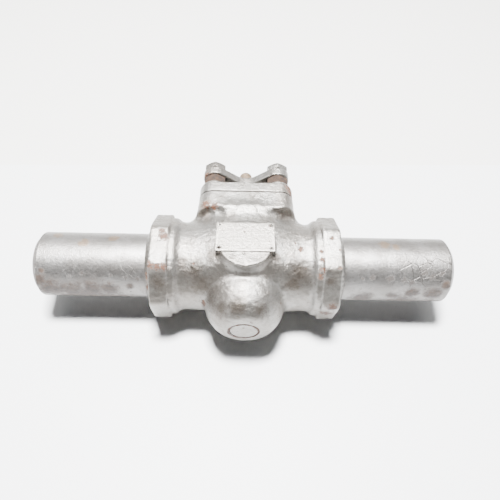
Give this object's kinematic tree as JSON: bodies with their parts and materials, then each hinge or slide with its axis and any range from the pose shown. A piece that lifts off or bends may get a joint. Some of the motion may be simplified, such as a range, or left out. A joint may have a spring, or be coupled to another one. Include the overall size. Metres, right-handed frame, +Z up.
{
  "type": "steam trap",
  "caption": "Forged thermostatic steam trap with a bolted square cover, a lobed yoke carrying the spindle, and plain pipe nipples welded into octagonal bosses.",
  "frame": {"origin": "on the floor under the centre of the object's box, as it lies on its back", "axes": "+X along the pipe towards the outlet, +Y along the bonnet axis towards the spindle's outer end, +Z up out of the rating plate"},
  "size_m": [0.3096, 0.1516, 0.0803],
  "materials": {
    "silver_paint": "weathered aluminium-silver paint over forged steel",
    "painted_pipe": "worn silver paint over steel pipe, rust at the ends",
    "rusty_steel": "rusted steel",
    "brown_steel": "bare steel, oxidised brown",
    "machined_steel": "machined steel",
    "stainless_steel": "turned stainless steel",
    "bimetal_strip": "rolled bimetal strip",
    "graphite_packing": "graphite packing"
  },
  "bodies": {
    "trap_body": {"body": "silver_paint", "inlet_weld": "silver_paint", "outlet_weld": "silver_paint", "bottom_plug": "silver_paint", "cover": "silver_paint", "yoke_plate": "silver_paint", "yoke_nut_1": "silver_paint", "yoke_nut_2": "silver_paint", "yoke_nut_3": "silver_paint", "yoke_nut_4": "silver_paint", "rating_plate": "silver_paint", "plate_tack": "silver_paint", "cover_washer_1": "silver_paint", "cover_washer_2": "silver_paint", "cover_washer_3": "silver_paint", "cover_washer_4": "silver_paint", "inlet_nipple": "painted_pipe", "outlet_nipple": "painted_pipe", "cover_nut_1": "rusty_steel", "cover_nut_2": "rusty_steel", "cover_nut_3": "rusty_steel", "cover_nut_4": "rusty_steel", "stud_1": "rusty_steel", "stud_2": "rusty_steel", "stud_3": "rusty_steel", "stud_4": "rusty_steel", "gland_nut": "machined_steel", "valve_seat": "stainless_steel", "strainer_screen": "stainless_steel", "cover_gasket": "graphite_packing", "gland_packing": "graphite_packing", "seat_gasket": "graphite_packing"},
    "foot": {"thrust_pad": "machined_steel"},
    "spindle": {"spindle": "brown_steel"},
    "valve": {"valve": "stainless_steel", "stack_nut": "stainless_steel"},
    "disc_1": {"bimetal_disc_1": "bimetal_strip"},
    "disc_2": {"bimetal_disc_2": "bimetal_strip"},
    "disc_3": {"bimetal_disc_3": "bimetal_strip"},
    "disc_4": {"bimetal_disc_4": "bimetal_strip"},
    "disc_5": {"bimetal_disc_5": "bimetal_strip"},
    "disc_6": {"bimetal_disc_6": "bimetal_strip"}
  },
  "joints": [
    {"name": "spindle_travel", "type": "slide", "parent": "trap_body", "child": "foot", "axis": [0, -1, 0], "range_m": [0, 0.0045]},
    {"name": "spindle_turn", "type": "hinge", "parent": "foot", "child": "spindle", "pos_m": [0, 0.05225, 0.03903], "axis": [0, -1, 0], "range_deg": [0, 1080]},
    {"name": "valve_lift", "type": "slide", "parent": "trap_body", "child": "valve", "axis": [0, 1, 0], "range_m": [0, 0.0022]},
    {"name": "disc_1_bow", "type": "slide", "parent": "trap_body", "child": "disc_1", "axis": [0, 1, 0], "range_m": [0, 0.000203]},
    {"name": "disc_2_bow", "type": "slide", "parent": "trap_body", "child": "disc_2", "axis": [0, 1, 0], "range_m": [0, 0.00057]},
    {"name": "disc_3_bow", "type": "slide", "parent": "trap_body", "child": "disc_3", "axis": [0, 1, 0], "range_m": [0, 0.000937]},
    {"name": "disc_4_bow", "type": "slide", "parent": "trap_body", "child": "disc_4", "axis": [0, 1, 0], "range_m": [0, 0.0013]},
    {"name": "disc_5_bow", "type": "slide", "parent": "trap_body", "child": "disc_5", "axis": [0, 1, 0], "range_m": [0, 0.00167]},
    {"name": "disc_6_bow", "type": "slide", "parent": "trap_body", "child": "disc_6", "axis": [0, 1, 0], "range_m": [0, 0.00204]}
  ],
  "couplings": [
    {"joint": "spindle_turn", "follows": "spindle_travel", "rad_per_m": 4188.8},
    {"joint": "disc_1_bow", "follows": "valve_lift", "ratio": 0.083333},
    {"joint": "disc_2_bow", "follows": "valve_lift", "ratio": 0.25},
    {"joint": "disc_3_bow", "follows": "valve_lift", "ratio": 0.41667},
    {"joint": "disc_4_bow", "follows": "valve_lift", "ratio": 0.58333},
    {"joint": "disc_5_bow", "follows": "valve_lift", "ratio": 0.75},
    {"joint": "disc_6_bow", "follows": "valve_lift", "ratio": 0.91667}
  ]
}
